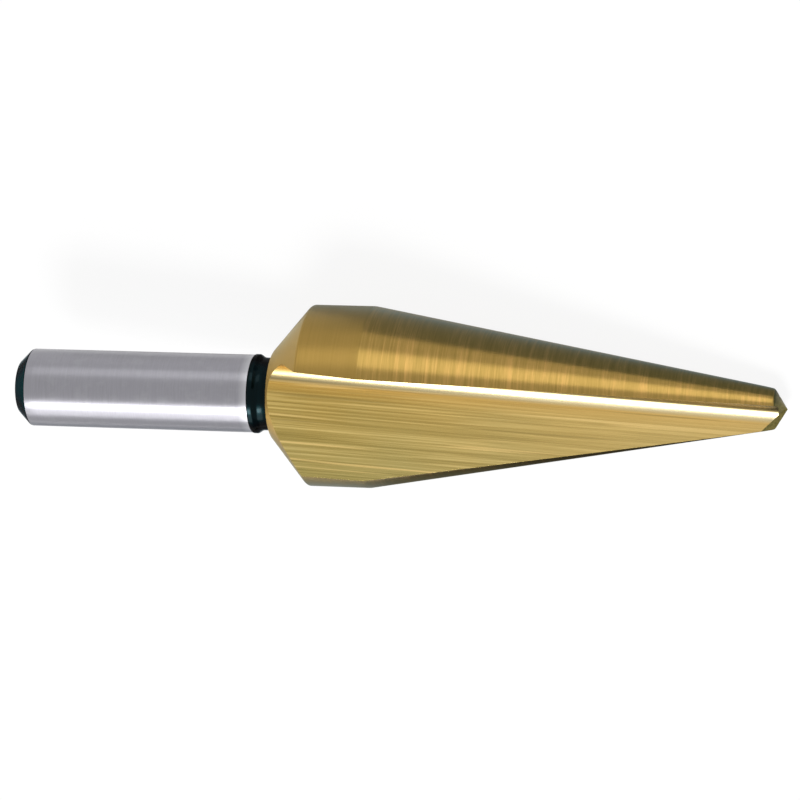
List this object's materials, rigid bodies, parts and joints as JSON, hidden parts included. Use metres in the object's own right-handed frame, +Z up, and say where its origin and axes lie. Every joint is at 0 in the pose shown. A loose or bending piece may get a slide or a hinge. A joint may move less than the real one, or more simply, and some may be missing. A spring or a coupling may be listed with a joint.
{
  "type": "cone drill bit",
  "caption": "Conical sheet-metal drill bit with straight flutes, a gold-coloured cutting cone, a split point and a plain round shank.",
  "frame": {"origin": "centre of the shank's flat end face, on the drill's own axis", "axes": "+Z up as the drill lies on a floor, +X level and from the shank towards the point, so the drill's own axis dips about 8 degrees below +X"},
  "size_m": [0.0593, 0.014, 0.012],
  "materials": {
    "coated_steel": "ground steel with a gold-coloured coating on the head"
  },
  "bodies": {
    "root": {"cone_drill": "coated_steel"}
  },
  "joints": []
}
